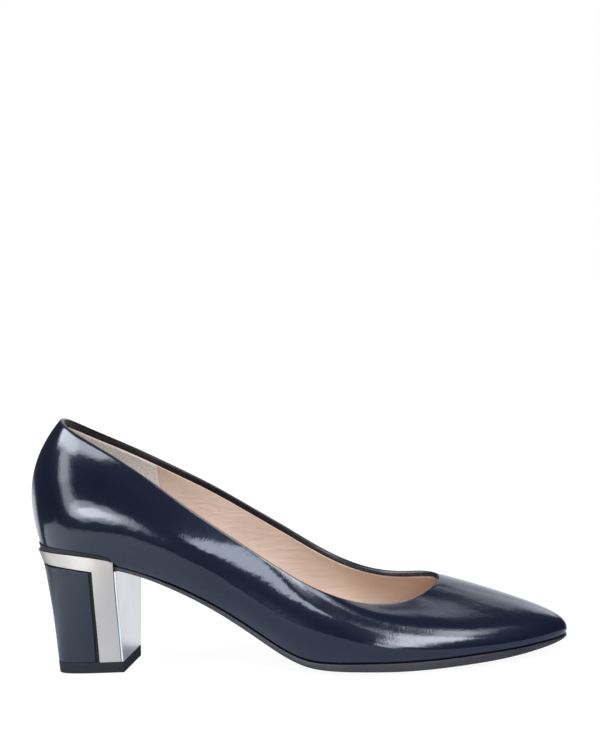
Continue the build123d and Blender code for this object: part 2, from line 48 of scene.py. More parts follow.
# One row per station round the shoe: heel back, lateral side, toe, medial side.
# Feather line x, y; topline x, y, z; swell of the lower, middle and upper control;
# how much the station belongs to the toe.
STATIONS = [
    (4.4, 0.0, 18.3, 0.0, 118.3, 7.0, 13.5, 11.5, 0.00),
    (8.4, -14.1, 21.0, -8.5, 116.4, 6.5, 12.0, 10.5, 0.00),
    (21.0, -22.6, 30.0, -15.5, 111.5, 6.1, 11.1, 9.0, 0.00),
    (40.5, -24.0, 45.0, -21.0, 103.0, 5.7, 10.2, 7.6, 0.00),
    (62.0, -24.0, 63.0, -25.2, 91.0, 5.9, 8.6, 5.7, 0.00),
    (85.0, -24.8, 81.0, -27.6, 77.2, 6.0, 7.0, 4.5, 0.00),
    (107.0, -26.6, 99.0, -28.8, 64.0, 6.0, 7.0, 4.0, 0.00),
    (129.0, -32.0, 116.0, -29.7, 52.0, 6.0, 7.0, 4.0, 0.00),
    (151.0, -36.6, 132.0, -30.0, 41.6, 6.0, 7.5, 4.5, 0.05),
    (173.0, -37.2, 147.0, -28.6, 34.2, 5.5, 7.0, 4.5, 0.20),
    (195.0, -32.6, 160.0, -25.0, 30.2, 5.0, 5.5, 3.5, 0.45),
    (216.0, -24.0, 171.0, -19.4, 29.1, 4.5, 3.5, 2.5, 0.70),
    (232.5, -13.8, 180.0, -12.0, 30.4, 4.0, 1.5, 1.0, 0.88),
    (241.5, -5.5, 186.0, -4.5, 33.0, 3.5, 0.4, 0.2, 0.98),
    (244.6, 3.0, 188.0, 3.0, 34.9, 3.4, 0.0, 0.0, 1.00),
    (241.0, 11.5, 186.0, 10.0, 35.9, 3.5, 0.2, 0.0, 0.98),
    (231.0, 19.5, 180.0, 15.5, 36.3, 4.0, 1.0, 0.4, 0.88),
    (214.0, 28.0, 171.0, 20.5, 35.6, 4.5, 3.0, 1.5, 0.70),
    (194.0, 34.2, 160.0, 25.2, 35.7, 5.0, 5.0, 3.0, 0.45),
    (172.0, 36.8, 147.0, 28.4, 38.8, 5.5, 6.0, 3.5, 0.20),
    (150.0, 34.5, 132.0, 30.1, 46.0, 6.0, 6.5, 3.5, 0.05),
    (128.0, 27.5, 116.0, 30.8, 56.3, 7.0, 7.0, 3.5, 0.00),
    (106.0, 22.5, 99.0, 30.9, 67.3, 7.0, 7.0, 3.5, 0.00),
    (84.0, 21.5, 81.0, 30.3, 79.0, 7.0, 7.0, 4.0, 0.00),
    (62.0, 22.8, 63.0, 28.6, 89.7, 6.1, 8.4, 5.6, 0.00),
    (40.5, 24.0, 45.0, 24.8, 100.3, 5.7, 9.9, 7.2, 0.00),
    (21.0, 22.6, 30.0, 19.0, 109.0, 6.1, 11.1, 8.5, 0.00),
    (8.4, 14.1, 21.0, 10.0, 115.6, 6.5, 12.0, 10.5, 0.00),
]
# Where the wall's three inner controls stand between feather line and topline.
SIDE_ALONG, SIDE_UP = (0.25, 0.50, 0.75), (0.25, 0.50, 0.75)
TOE_ALONG, TOE_UP = (0.0, 0.117, 0.61), (0.31, 0.400, 0.812)
# Underside of the sole and its thickness: x and value. The crown lifts the ball's sides.
TREAD = [(-10, 56.3), (10, 55.3), (30, 52.6), (50, 47.6), (70, 39.6), (90, 28.3),
         (110, 14.4), (120, 7.9), (130, 3.4), (140, 1.5), (155, 0.45), (170, 0.0),
         (185, 0.45), (203, 1.55), (215, 2.2), (233, 3.9), (245, 5.9), (256, 8.2)]
OUTSOLE = [(-10, 1.8), (45, 1.8), (70, 1.8), (90, 2.3), (110, 2.7), (130, 2.95),
           (150, 3.5), (165, 3.8), (200, 3.75), (215, 3.5), (224, 3.0), (233, 2.4),
           (240, 1.7), (245, 1.2), (256, 0.7)]
CROWN_RISE, CROWN_X, CROWN_REACH, CROWN_HALF = 1.45, 168.0, 35.0, 37.5

# Thickness of each layer of the wall, then how its edges are finished.
LEATHER, STIFFENER, LINING, GRIP = 1.2, 0.7, 0.8, 0.6
BINDING_DEPTH, BINDING_RISE, EDGE_SHOWN = 3.8, 0.45, 0.55
LINING_DROP = 3.4           # the lining's cut edge below the topline
LINING_FOOT, GRIP_FOOT = 0.055, 0.09    # wall parameters where they start
GRIP_END = 0.127            # share of the way round at which the grip stops
SOCK = (4.95, 5.75)         # heights above the outsole's upper face
EDGE_FRONT, EDGE_REAR = 0.25, -1.1      # how far the sole's edge stands out
EDGE_STEP = 62.0            # x at which it changes from one to the other

# Heel rows: height z, back x, breast x, half width, fullness of the outline.
HEEL = [(0.0, 8.0, 41.3, 16.3, 5.0), (15.0, 7.3, 42.1, 19.0, 3.7),
        (30.0, 6.6, 42.9, 22.4, 3.0), (45.0, 5.2, 43.7, 25.7, 2.55),
        (53.0, 4.1, 44.2, 27.1, 2.4), (60.0, 2.0, 44.5, 27.8, 2.4)]
HEEL_TOP = HEEL[-1][0]
HEEL_SKIN, HEEL_LEAN, HEEL_WAIST, TOP_LIFT = 1.0, 0.55, 0.085, 5.2
# Lower and upper edge of the metal band: x and height; the column's rear edge, x at
# the band and at the foot.
BAND_FOOT = [(-5.0, 53.2), (8.0, 52.8), (20.0, 51.7), (33.0, 49.7)]
RIM_TOP = [(-5.0, 58.5), (10.0, 58.7), (21.0, 57.9), (33.0, 56.3), (50.0, 51.9)]
COLUMN_BACK = (32.9, 30.2)
GROOVE = 0.75               # dark line between metal and leather panel
RAND_END = 0.112            # share of the way round at which the rand stops


# ---- smooth curves ----------------------------------------------------------------
def natural_spline(points):
    """A function of x through the points, with no bend at its ends."""
    x, y = np.array(points, float).T
    step, n = np.diff(x), len(x)
    system, rise = np.eye(n), np.zeros(n)
    for i in range(1, n - 1):
        system[i, i - 1:i + 2] = step[i - 1], 2 * (step[i - 1] + step[i]), step[i]
        rise[i] = 6 * ((y[i + 1] - y[i]) / step[i] - (y[i] - y[i - 1]) / step[i - 1])
    bend = np.linalg.solve(system, rise)

    def at(value):
        value = np.asarray(value, float)
        k = np.clip(np.searchsorted(x, value) - 1, 0, n - 2)
        p, q = (x[k + 1] - value) / step[k], (value - x[k]) / step[k]
        bow = ((p**3 - p) * bend[k] + (q**3 - q) * bend[k + 1]) * step[k]**2 / 6
        return p * y[k] + q * y[k + 1] + bow
    return at


def closed_spline(rows):
    """A smooth closed function of u, 0 to 1, through evenly spaced rows."""
    rows = np.array(rows, float)
    n = len(rows)
    blend = (4 + 2 * np.cos(2 * np.pi * np.arange(n) / n)) / 6
    poles = np.real(np.fft.ifft(np.fft.fft(rows, axis=0) / blend[:, None], axis=0))

    def at(u):
        place = np.asarray(u, float) * n
        k = np.floor(place).astype(int)
        f = (place - k)[..., None]
        weights = ((1 - f)**3, 3 * f**3 - 6 * f**2 + 4, -3 * f**3 + 3 * f**2 + 3 * f + 1, f**3)
        return sum(w * poles[(k + i - 1) % n] for i, w in enumerate(weights)) / 6
    return at


station = closed_spline(STATIONS)
tread = natural_spline(TREAD)
outsole_thickness = natural_spline(OUTSOLE)
band_foot, rim_top = natural_spline(BAND_FOOT), natural_spline(RIM_TOP)
heel_back, heel_breast, heel_half, heel_fullness = (
    natural_spline([(row[0], row[i]) for row in HEEL]) for i in range(1, 5))


def tread_z(x, y):
    """Underside of the outsole."""
    crown = CROWN_RISE * np.exp(-((x - CROWN_X) / CROWN_REACH)**2) * (y / CROWN_HALF)**2
    return tread(x) + crown


def seat_z(x, y, level=0.0):
    """Upper face of the outsole, or a height above it."""
    return tread_z(x, y) + outsole_thickness(x) + level


def feather(u, out=0.0):
    """Plan point of the feather line moved outward by out, and the outward direction."""
    small = 1e-4
    along = station(u + small)[..., :2] - station(u - small)[..., :2]
    outward = np.stack([along[..., 1], -along[..., 0]], -1)
    outward /= np.linalg.norm(outward, axis=-1, keepdims=True)
    return station(u)[..., :2] + outward * np.asarray(out, float)[..., None], outward


def wall_controls(u):
    """The five control points of the wall at u, from the feather line to the topline."""
    row = station(u)
    foot, outward = feather(u)
    top, swell, toe = row[..., 2:5], row[..., 5:8], row[..., 8:9]
    foot_z = seat_z(foot[..., 0], foot[..., 1])[..., None]
    controls = [np.concatenate([foot, foot_z], -1)]
    for i in range(3):
        along = SIDE_ALONG[i] * (1 - toe) + TOE_ALONG[i] * toe
        up = SIDE_UP[i] * (1 - toe) + TOE_UP[i] * toe
        plan = foot + along * (top[..., :2] - foot) + swell[..., i:i + 1] * outward
        controls.append(np.concatenate([plan, foot_z + up * (top[..., 2:] - foot_z)], -1))
    return controls + [top]


def outer(u, v):
    """The outer face of the leather; v is 0 at the feather line and 1 at the topline."""
    u, v = np.broadcast_arrays(np.asarray(u, float), np.asarray(v, float))
    a, b, c, d, e = wall_controls(u)
    v = v[..., None]
    w = 1 - v
    return w**4 * a + 4 * w**3 * v * b + 6 * w**2 * v**2 * c + 4 * w * v**3 * d + v**4 * e


def wall(u, v, depth=0.0):
    """A point of the wall, depth millimetres inside its outer face."""
    small = 1e-4
    across = outer(u + small, v) - outer(u - small, v)
    up = outer(u, v + small) - outer(u, v - small)
    normal = np.cross(across, up)
    normal /= np.linalg.norm(normal, axis=-1, keepdims=True)
    return outer(u, v) - normal * np.asarray(depth, float)[..., None]


def below_topline(u, distance):
    """Wall parameter that lies a distance in millimetres below the topline."""
    controls = wall_controls(u)
    return 1 - distance / (4 * np.linalg.norm(controls[4] - controls[3], axis=-1))


def above_feather(u, distance):
    """Wall parameter that lies a distance in millimetres above the feather line."""
    controls = wall_controls(u)
    return distance / (4 * np.linalg.norm(controls[1] - controls[0], axis=-1))


# ---- meshes -----------------------------------------------------------------------
def make_piece(name, points, faces, material, nodes, smooth_angle=40.0):
    """A mesh object that stands for CAD nodes and takes its finish from a slot."""
    points = np.asarray(points, float).reshape(-1, 3) - (FOOTPRINT_MIDDLE, 0, 0)
    mesh = bpy.data.meshes.new(name)
    mesh.from_pydata((points / 1000).tolist(), [], faces)
    mesh.validate()
    mesh.shade_smooth()
    mesh.set_sharp_from_angle(angle=math.radians(smooth_angle))
    piece = bpy.data.objects.new(name, mesh)
    bpy.context.collection.objects.link(piece)
    piece.data.materials.append(material)
    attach(piece, "root")
    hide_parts(*nodes)
    return piece


def grid_faces(rows, columns, wrap_rows=False, wrap_columns=False, first=0):
    """Quads over rows x columns points numbered from first."""
    faces = []
    for i in range(rows if wrap_rows else rows - 1):
        for j in range(columns if wrap_columns else columns - 1):
            a, b = i * columns + j, i * columns + (j + 1) % columns
            c, d = ((i + 1) % rows) * columns + j, ((i + 1) % rows) * columns + (j + 1) % columns
            faces.append((first + a, first + c, first + d, first + b))
    return faces


def swept_loop(points, closed):
    """Faces of a closed profile swept round the shoe: points are sweep x profile x 3."""
    rows, columns = points.shape[:2]
    faces = grid_faces(rows, columns, closed, True)
    if not closed:
        half = columns // 2
        for row, flip in ((0, False), (rows - 1, True)):
            ring = [row * columns + j for j in range(columns)]
            for j in range(half - 1):
                quad = (ring[j], ring[j + 1], ring[columns - 2 - j], ring[columns - 1 - j])
                faces.append(quad[::-1] if flip else quad)
    return faces


def layer_profile(u, low, high, outside, inside, round_top, round_foot, steps=26):
    """Profile points of a layer of the wall at each u, its two edges rounded.

    low and high are wall parameters for each u, outside and inside are depths.
    """
    thick = inside - outside
    middle = (inside + outside) / 2
    turn = np.linspace(0, np.pi, 7)
    rise_top = below_topline(u, 0.0) - below_topline(u, 1.0)
    rise_foot = above_feather(u, 1.0)
    rows_v, rows_d = [], []
    for s in np.linspace(0, 1, steps):
        rows_v.append(low + (high - low) * s)
        rows_d.append(np.full_like(u, outside))
    for a in turn[1:-1]:
        rows_v.append(high + rise_top * round_top * np.sin(a))
        rows_d.append(np.full_like(u, middle - thick / 2 * np.cos(a)))
    for s in np.linspace(1, 0, steps):
        rows_v.append(low + (high - low) * s)
        rows_d.append(np.full_like(u, inside))
    for a in turn[1:-1]:
        rows_v.append(low - rise_foot * round_foot * np.sin(a))
        rows_d.append(np.full_like(u, middle + thick / 2 * np.cos(a)))
    return np.stack(rows_v, -1), np.stack(rows_d, -1)


def stacked_loops(loops, across=14):
    """Points and faces of a closed solid through matching loops, filled at both ends.

    Each loop has an even count of points, and point i faces point count - i.
    """
    loops = np.array(loops, float)
    levels, count = loops.shape[:2]
    points = [loops.reshape(-1, 3)]
    faces = grid_faces(levels, count, False, True)
    total = levels * count
    for level, flip in ((0, True), (levels - 1, False)):
        loop = loops[level]
        rows = []
        for i in range(count // 2 + 1):
            a, b = i, (count - i) % count
            if a == b:
                rows.append([level * count + a])
                continue
            s = np.linspace(0, 1, across + 2)[1:-1, None]
            points.append(loop[a] + (loop[b] - loop[a]) * s)
            rows.append([level * count + a, *range(total, total + across), level * count + b])
            total += across
        for one, two in zip(rows[:-1], rows[1:]):
            if len(one) == 1 or len(two) == 1:
                tip, row = (one[0], two) if len(one) == 1 else (two[0], one)
                fan = [(tip, row[j], row[j + 1]) for j in range(len(row) - 1)]
                turned = (len(one) == 1) == flip
                faces += [f[::-1] if turned else f for f in fan]
            else:
                quads = [(one[j], one[j + 1], two[j + 1], two[j]) for j in range(len(one) - 1)]
                faces += [q if flip else q[::-1] for q in quads]
    return np.concatenate(points), faces


def shell_between(front, back, keep):
    """Points and faces of the plate between two grids, over the cells that keep marks."""
    rows, columns = front.shape[:2]
    points = np.concatenate([front.reshape(-1, 3), back.reshape(-1, 3)])
    half = rows * columns
    faces, edges = [], {}
    for i in range(rows - 1):
        for j in range(columns - 1):
            if not keep[i, j]:
                continue
            quad = (i * columns + j, (i + 1) * columns + j,
                    (i + 1) * columns + j + 1, i * columns + j + 1)
            faces += [quad, tuple(half + k for k in quad[::-1])]
            for a, b in zip(quad, quad[1:] + quad[:1]):
                edges[(a, b)] = edges.get((a, b), 0) + 1
    for a, b in edges:
        if (b, a) not in edges:
            faces.append((b, a, half + a, half + b))
    used = sorted({k for face in faces for k in face})
    place = {k: n for n, k in enumerate(used)}
    return points[used], [tuple(place[k] for k in face) for face in faces]


def soften_edges(piece, width, angle=50.0, segments=3):
    """Round the sharp edges of a piece, as a real cast or cut piece has them."""
    bevel = piece.modifiers.new("edges", "BEVEL")
    bevel.width, bevel.segments = width / 1000, segments
    bevel.limit_method, bevel.angle_limit = "ANGLE", math.radians(angle)
    bevel.harden_normals = True
    settled = bpy.data.meshes.new_from_object(piece.evaluated_get(
        bpy.context.evaluated_depsgraph_get()))
    piece.modifiers.clear()
    piece.data = settled
    settled.shade_smooth()


# ---- materials --------------------------------------------------------------------
def new_material(name, color, roughness, metallic=0.0, specular=0.5, coat=0.0,
                 coat_roughness=0.03, sheen=0.0, sheen_roughness=0.5):
    """A material and its shader, with the values that are the same all over it."""
    material = bpy.data.materials.new(name)
    material.use_nodes = True
    shader = material.node_tree.nodes["Principled BSDF"]
    shader.inputs["Base Color"].default_value = (*color, 1)
    shader.inputs["Roughness"].default_value = roughness
    shader.inputs["Metallic"].default_value = metallic
    shader.inputs["Specular IOR Level"].default_value = specular
    shader.inputs["Coat Weight"].default_value = coat
    shader.inputs["Coat Roughness"].default_value = coat_roughness
    shader.inputs["Sheen Weight"].default_value = sheen
    shader.inputs["Sheen Roughness"].default_value = sheen_roughness
    return material, shader


def add_noise(material, scale, detail=4.0, stretch=(1, 1, 1), turn=(0, 0, 0), distortion=0.0):
    """Noise in the object's own space, stretched along its axes; gives the Fac output."""
    nodes, links = material.node_tree.nodes, material.node_tree.links
    place = nodes.new("ShaderNodeTexCoord")
    mapping = nodes.new("ShaderNodeMapping")
    mapping.inputs["Scale"].default_value = stretch
    mapping.inputs["Rotation"].default_value = turn
    noise = nodes.new("ShaderNodeTexNoise")
    noise.inputs["Scale"].default_value = scale
    noise.inputs["Detail"].default_value = detail
    noise.inputs["Distortion"].default_value = distortion
    links.new(place.outputs["Object"], mapping.inputs["Vector"])
    links.new(mapping.outputs["Vector"], noise.inputs["Vector"])
    return noise.outputs["Fac"]


def spread(material, value, low, high, start=0.3, end=0.7):
    """Map a 0 to 1 value onto low to high."""
    node = material.node_tree.nodes.new("ShaderNodeMapRange")
    for key, number in (("From Min", start), ("From Max", end), ("To Min", low), ("To Max", high)):
        node.inputs[key].default_value = number
    material.node_tree.links.new(value, node.inputs["Value"])
    return node.outputs["Result"]


def color_between(material, value, dark, light, start=0.3, end=0.7):
    """A colour that runs from dark to light with a 0 to 1 value."""
    node = material.node_tree.nodes.new("ShaderNodeValToRGB")
    node.color_ramp.elements[0].position = start
    node.color_ramp.elements[0].color = (*dark, 1)
    node.color_ramp.elements[1].position = end
    node.color_ramp.elements[1].color = (*light, 1)
    material.node_tree.links.new(value, node.inputs["Fac"])
    return node.outputs["Color"]


def add_bump(material, shader, heights, coat_too=False):
    """Bump from a list of (value, depth in millimetres), one on top of the other."""
    nodes, links = material.node_tree.nodes, material.node_tree.links
    normal = None
    for value, depth in heights:
        bump = nodes.new("ShaderNodeBump")
        bump.inputs["Distance"].default_value = depth / 1000
        links.new(value, bump.inputs["Height"])
        if normal:
            links.new(normal, bump.inputs["Normal"])
        normal = bump.outputs["Normal"]
    links.new(normal, shader.inputs["Normal"])
    if coat_too:
        links.new(normal, shader.inputs["Coat Normal"])


def link(material, value, shader, socket):
    """Feed a node's output to a socket of the shader."""
    material.node_tree.links.new(value, shader.inputs[socket])


def glossy_navy():
    """Brushed-off calf: near-black navy under a clear polish, with fine soft creases."""
    material, shader = new_material("navy_calf", (0.004, 0.005, 0.012), 0.30, coat=1.0,
                                    coat_roughness=0.07, specular=0.10)
    shader.inputs["Specular Tint"].default_value = (0.72, 0.84, 1.0, 1)
    creases = add_noise(material, 1300, 3.0, (1.0, 1.0, 0.6), (0, 0.5, 0), 0.3)
    pores = add_noise(material, 2600, 3.0)
    waves = add_noise(material, 120, 2.0, (0.6, 1.0, 1.0), (0, 0.5, 0))
    tone = add_noise(material, 30, 3.0)
    link(material, color_between(material, tone, (0.003, 0.004, 0.011), (0.004, 0.0055, 0.014)),
         shader, "Base Color")
    add_bump(material, shader, [(waves, 0.13), (creases, 0.026), (pores, 0.005)], True)
    return material


def plain_leather(name, dark, light, roughness, grain=0.02, scale=1500, coat=0.0, sheen=0.0):
    """Leather with an uneven colour and a fine grain."""
    material, shader = new_material(name, light, roughness, coat=coat, coat_roughness=0.18,
                                    sheen=sheen, specular=0.4)
    tone = add_noise(material, 60, 5.0)
    pores = add_noise(material, scale, 4.0)
    link(material, color_between(material, tone, dark, light), shader, "Base Color")
    link(material, spread(material, pores, roughness - 0.06, roughness + 0.08), shader, "Roughness")
    add_bump(material, shader, [(pores, grain)])
    return material


def suede_nap():
    """Cream suede: a matt, mottled nap."""
    material, shader = new_material("suede", (0.6, 0.55, 0.49), 0.95, specular=0.2, sheen=0.4)
    nap = add_noise(material, 1100, 5.0)
    brushed = add_noise(material, 260, 3.0, (0.4, 1.0, 1.0), (0, 0.5, 0))
    link(material, color_between(material, nap, (0.45, 0.41, 0.36), (0.68, 0.63, 0.56)),
         shader, "Base Color")
    add_bump(material, shader, [(brushed, 0.10), (nap, 0.08)])
    return material


def pink_lining():
    """Smooth lining leather with long soft drag wrinkles along the foot."""
    material, shader = new_material("pink_lining", (0.6, 0.44, 0.34), 0.48, specular=0.35)
    tone = add_noise(material, 45, 4.0)
    folds = add_noise(material, 220, 4.0, (0.22, 1.0, 1.0), (0, 0.45, 0), 1.2)
    pores = add_noise(material, 1500, 3.0)
    link(material, color_between(material, tone, (0.50, 0.365, 0.28), (0.58, 0.44, 0.345)),
         shader, "Base Color")
    add_bump(material, shader, [(folds, 0.42), (pores, 0.012)])
    return material


def brushed_metal(name, color, roughness, along, depth):
    """Plated metal with fine lines along one direction."""
    material, shader = new_material(name, color, roughness, metallic=1.0)
    lines = add_noise(material, 2200, 3.0, along)
    patch = add_noise(material, 45, 3.0)
    link(material, color_between(material, patch, tuple(0.93 * c for c in color), color),
         shader, "Base Color")
    link(material, spread(material, lines, roughness - 0.04, roughness + 0.05), shader, "Roughness")
    add_bump(material, shader, [(lines, depth)])
    return material


# ---- upper ------------------------------------------------------------------------
ROUND = 560                 # points round the shoe in the finest pieces
TUCK, TUCK_HEIGHT = 0.7, 2.4            # how far the upper draws in at the sole, from what height


def upper_piece(material):
    """The leather upper: rolled over at the topline and tucked in at the sole."""
    u = np.arange(ROUND) / ROUND
    v, depth = layer_profile(u, above_feather(u, 0.0), below_topline(u, 0.55), 0.0, LEATHER,
                             0.6, 0.0, 60)
    height = v / above_feather(u, 1.0)[:, None]
    under = np.clip(1 - height / TUCK_HEIGHT, 0, 1)
    outside = depth < LEATHER / 2
    depth = depth + TUCK * under**2 * outside
    points = wall(u[:, None] + 0 * v, v, depth)
    return make_piece("upper", points, swept_loop(points, True), material,
                      ["upper_leather"])


def lining_piece(material):
    """The quarter and vamp lining, cut off square a little below the topline."""
    u = np.arange(ROUND) / ROUND
    first = LEATHER + STIFFENER + 2 * GLUE
    v, depth = layer_profile(u, np.full_like(u, LINING_FOOT), below_topline(u, LINING_DROP),
                             first, first + LINING, 0.12, 0.0, 60)
    points = wall(u[:, None] + 0 * v, v, depth)
    return make_piece("lining", points, swept_loop(points, True), material,
                      ["quarter_lining"])


def grip_piece(material):
    """The suede grip glued over the lining at the heel."""
    u = np.linspace(-GRIP_END, GRIP_END, 150)
    first = LEATHER + STIFFENER + LINING + 3 * GLUE
    v, depth = layer_profile(u, np.full_like(u, GRIP_FOOT), below_topline(u, BINDING_DEPTH - 0.6),
                             first, first + GRIP, 0.2, 0.2, 40)
    points = wall(u[:, None] + 0 * v, v, depth)
    return make_piece("heel_grip_suede", points, swept_loop(points, False), material,
                      ["heel_grip"])


def binding_piece(material):
    """The strip folded over the edge: a crisp roll on top, its inner leg under the lining."""
    u = np.arange(ROUND) / ROUND
    inner = LEATHER + GLUE
    back = inner + STIFFENER
    middle, half = (back + EDGE_SHOWN) / 2, (back - EDGE_SHOWN) / 2
    outline = [(0.02, inner), (0.02, EDGE_SHOWN + 0.2)]
    outline += [(0.05 + (BINDING_RISE - 0.05) * math.sin(a)**0.6, middle - half * math.cos(a))
                for a in np.linspace(0, np.pi, 13)]
    outline += [(-BINDING_DEPTH * s, back - 0.12 * math.sin(math.pi * s))
                for s in np.linspace(0, 1, 11)[1:]]
    outline += [(-BINDING_DEPTH * s, inner) for s in np.linspace(1, 0, 6)[:-1]]
    v = np.stack([below_topline(u, -rise) for rise, _ in outline], -1)
    depth = np.array([d for _, d in outline]) + 0 * v
    points = wall(u[:, None] + 0 * v, v, depth)
    return make_piece("edge_binding", points, swept_loop(points, True), material,
                      ["topline_binding"], 60.0)


# ---- bottom -----------------------------------------------------------------------
def sole_loop(out, height, count=ROUND):
    """A loop over the feather line, moved outward; height is a function of x and y."""
    u = np.arange(count) / count
    plan = feather(u, out(u) if callable(out) else np.full_like(u, out))[0]
    return np.concatenate([plan, height(plan[:, 0], plan[:, 1])[:, None]], -1)


def edge_out(u):
    """How far the sole's edge stands out: tucked in at the heel and waist, out at the ball."""
    step = 1 / (1 + np.exp(-(station(u)[..., 0] - EDGE_STEP) / 4.0))
    return EDGE_REAR + (EDGE_FRONT - EDGE_REAR) * step


def outsole_piece(material):
    """The outsole, its edge trimmed square with a small round above and below."""
    loops = []
    rounding = np.linspace(0, np.pi / 2, 5)
    for inset in (6.0, 3.0, 1.2):
        loops.append(sole_loop(lambda u, i=inset: edge_out(u) - i, tread_z))
    for a in rounding:
        radius = 0.45
        loops.append(sole_loop(lambda u, a=a: edge_out(u) - radius * (1 - np.sin(a)),
                               lambda x, y, a=a: tread_z(x, y) + radius * (1 - np.cos(a))))
    for a in rounding:
        radius = 0.25
        loops.append(sole_loop(lambda u, a=a: edge_out(u) - radius * (1 - np.cos(a)),
                               lambda x, y, a=a: seat_z(x, y, -radius * (1 - np.sin(a)))))
    loops.append(sole_loop(lambda u: edge_out(u) - 2.0, seat_z))
    points, faces = stacked_loops(loops)
    return make_piece("outsole_leather", points, faces, material, ["outsole"])


def sock_rim(level, gap):
    """Loop a gap inside the lining, and inside the grip at the heel, at a height over the sole."""
    u = np.arange(ROUND) / ROUND
    v = np.linspace(0.01, 0.5, 80) + 0 * u[:, None]
    grip = 1 / (1 + np.exp((np.minimum(u, 1 - u) - GRIP_END) / 0.002))
    depth = LEATHER + STIFFENER + LINING + 2 * GLUE + gap + (GRIP + GLUE) * grip
    points = wall(u[:, None] + 0 * v, v, depth[:, None] + 0 * v)
    rise = points[..., 2] - seat_z(points[..., 0], points[..., 1])
    rise = np.maximum.accumulate(rise, 1) + 1e-6 * np.arange(v.shape[1])
    return np.array([[np.interp(level, rise[i], points[i, :, k]) for k in range(3)]
                     for i in range(ROUND)])


def sock_piece(material):
    """The sock lining, its edge turned down where it meets the wall."""
    low, high = SOCK
    loops = [sock_rim(low, 0.7), sock_rim(low, 0.25), sock_rim(low + 0.3, 0.1),
             sock_rim(high - 0.15, 0.15), sock_rim(high, 0.6),
             sole_loop(-6.5, lambda x, y: seat_z(x, y, high))]
    points, faces = stacked_loops(loops)
    return make_piece("sock", points, faces, material, ["sock_lining"])


# ---- heel -------------------------------------------------------------------------
def heel_lean(z):
    return HEEL_LEAN * (1 - z / HEEL_TOP)


def heel_breadth(z, reach, inset=0.0):
    """Half the heel's width at a share of the way from its back to its breast."""
    waist = HEEL_WAIST * np.clip(z / HEEL_TOP, 0, 1)
    return (heel_half(z) - inset) * (1 - waist * reach**3)


def heel_point(angle, z, inset=0.0):
    """A point of the heel's rear outline; angle runs from -90 to 90 degrees."""
    power = 2 / heel_fullness(z)
    back, breast = heel_back(z) + inset, heel_breast(z) - inset
    reach = 1 - np.abs(np.cos(angle))**power
    y = heel_breadth(z, reach, inset) * np.sign(angle) * np.abs(np.sin(angle))**power
    return np.stack([back + (breast - back) * reach, heel_lean(z) + y, z + 0 * y], -1)


def heel_angle(x, z):
    """The angle at which the outline passes x, on the medial side."""
    reach = (heel_breast(z) - x) / (heel_breast(z) - heel_back(z))
    return np.arccos(np.clip(reach, 0, 1)**(heel_fullness(z) / 2))


def heel_front_angle(z):
    """The angle of the columns' front edge, just behind the breast plate."""
    return heel_angle(heel_breast(z) - HEEL_SKIN - GLUE, z)


def column_angle(z):
    """The angle of the columns' rear edge."""
    low, high = TOP_LIFT, 49.7
    x = COLUMN_BACK[1] + (COLUMN_BACK[0] - COLUMN_BACK[1]) * (z - low) / (high - low)
    return heel_angle(x, np.minimum(z, high))


def frame_piece(material):
    """The metal band under the seat with a column at each front corner."""
    side, back, low, up = 10, 60, 24, 8
    share = np.concatenate([np.linspace(0, 1, side + 1), np.linspace(1, 2, back)[1:],
                            np.linspace(2, 3, side + 1)[1:]])
    rise = np.concatenate([np.linspace(0, 1, low + 1), np.linspace(1, 2, up + 1)[1:]])
    share, rise = np.meshgrid(share, rise)
    z = TOP_LIFT + 45 * rise / 2
    for _ in range(8):
        front, rear = heel_front_angle(z), column_angle(z)
        angle = np.where(share < 1, -front + (front - rear) * share,
                         np.where(share > 2, rear + (front - rear) * (share - 2),
                                  rear * (2 * share - 3)))
        x = heel_point(angle, z)[..., 0]
        foot = band_foot(np.minimum(x, COLUMN_BACK[0]))
        z = np.where(rise < 1, TOP_LIFT + GLUE + (foot - TOP_LIFT) * rise,
                     foot + (rim_top(x) - foot) * (rise - 1))
    share, rise, tiny = share[:-1, :-1], rise[:-1, :-1], 1e-9
    keep = (rise >= 1 - tiny) | (share < 1 - tiny) | (share >= 2 - tiny)
    points, faces = shell_between(heel_point(angle, z), heel_point(angle, z, HEEL_SKIN), keep)
    piece = make_piece("heel_frame", points, faces, material, ["heel_metal_frame"])
    soften_edges(piece, 0.22)
    return piece


def panel_piece(material):
    """The leather panel wrapped round the back of the heel inside the frame."""
    share, rise = np.meshgrid(np.linspace(-1, 1, 81), np.linspace(0, 1, 41))
    z = TOP_LIFT + 45 * rise
    for _ in range(8):
        rear = column_angle(z) - GROOVE / 20
        angle = rear * share
        x = heel_point(angle, z)[..., 0]
        z = TOP_LIFT + 0.1 + (band_foot(x) - GROOVE - TOP_LIFT - 0.1) * rise
    keep = np.ones((40, 80), bool)
    points, faces = shell_between(heel_point(angle, z, 0.12), heel_point(angle, z, HEEL_SKIN), keep)
    piece = make_piece("heel_panel", points, faces, material,
                       ["heel_leather_panel"])
    soften_edges(piece, 0.5, segments=4)
    return piece


def breast_piece(material):
    """The bright plate on the heel breast, let in under the sole."""
    across, rise = np.meshgrid(np.linspace(-1, 1, 41), np.linspace(0, 1, 41))
    z = TOP_LIFT + GLUE + 0 * rise
    for _ in range(4):
        x, y = heel_breast(z), heel_lean(z) + (heel_breadth(z, 1.0) - 0.1) * across
        z = TOP_LIFT + GLUE + (tread_z(x, y) - TOP_LIFT - 2 * GLUE) * rise
    front = np.stack([x, y, z], -1)
    back = np.stack([x - HEEL_SKIN, y, z], -1)
    points, faces = shell_between(back, front, np.ones((40, 40), bool))
    piece = make_piece("breast_plate", points, faces, material,
                       ["heel_breast_plate"])
    soften_edges(piece, 0.2)
    return piece


